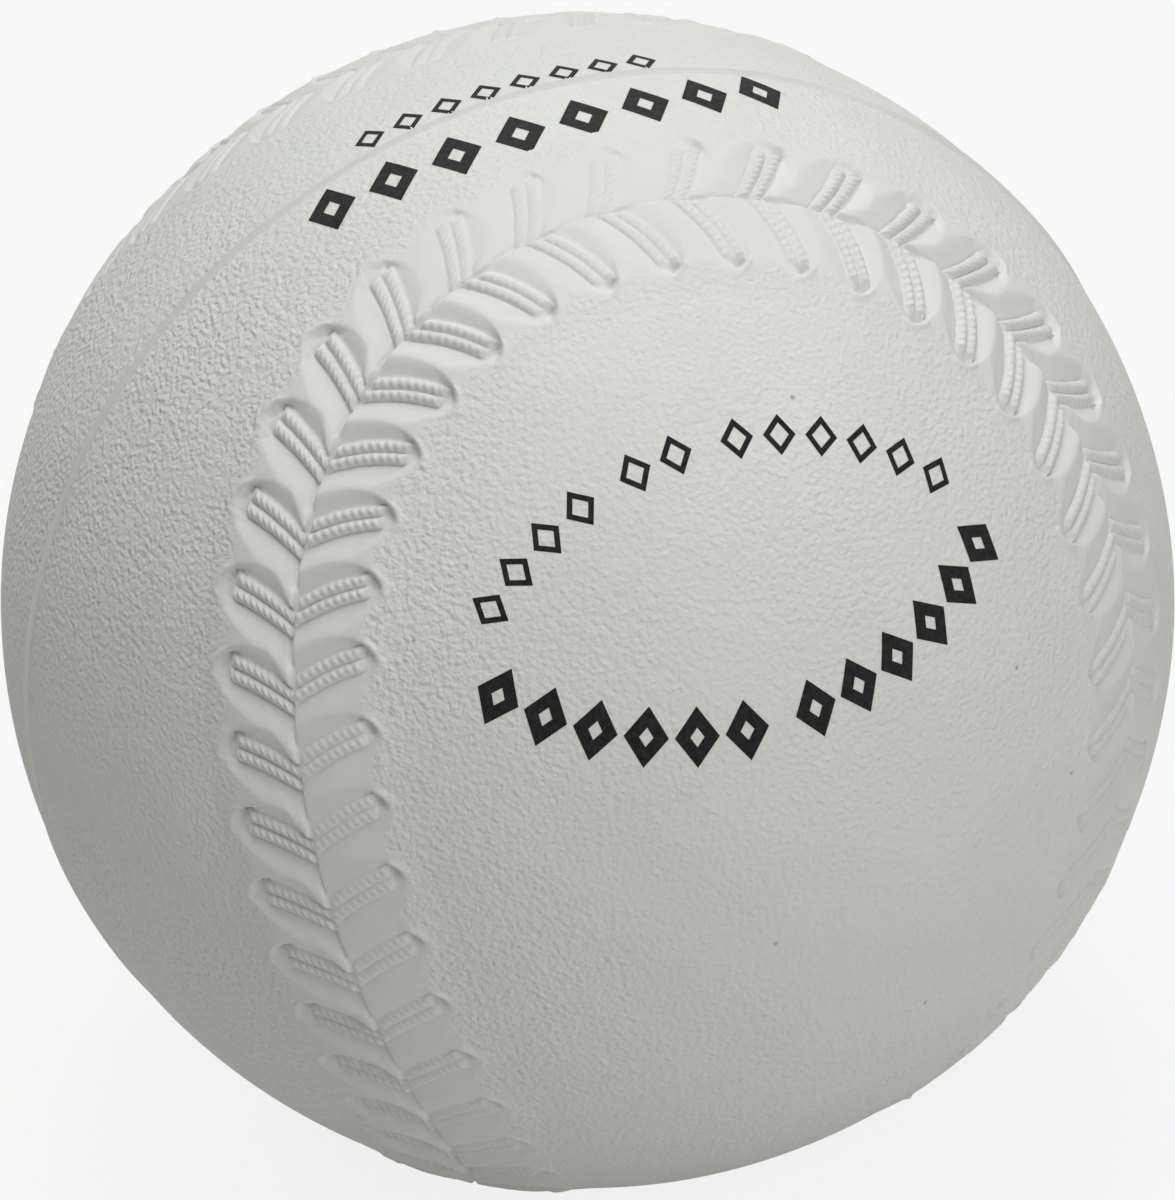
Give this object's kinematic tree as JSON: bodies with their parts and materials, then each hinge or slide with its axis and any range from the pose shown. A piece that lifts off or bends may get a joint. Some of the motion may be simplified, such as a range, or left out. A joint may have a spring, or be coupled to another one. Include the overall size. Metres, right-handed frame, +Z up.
{
  "type": "softball",
  "caption": "Round rubber covered ball with a moulded relief of a stitched seam, a wound layer and a sponge centre.",
  "frame": {"origin": "centre of the ball", "axes": "+Z up, out of the narrow waist of the panel that carries the top print place; -Y to the front, out of the front mould half, with the parting plane at y = 0; +X to the right"},
  "size_m": [0.0974, 0.097, 0.0973],
  "materials": {
    "cover_rubber": "matt off-white moulded rubber with a fine pebble grain",
    "winding_yarn": "wound undyed yarn",
    "center_sponge": "open matt sponge rubber"
  },
  "bodies": {
    "root": {"cover_front": "cover_rubber", "cover_back": "cover_rubber", "yarn_winding": "winding_yarn", "sponge_center": "center_sponge"}
  },
  "joints": []
}
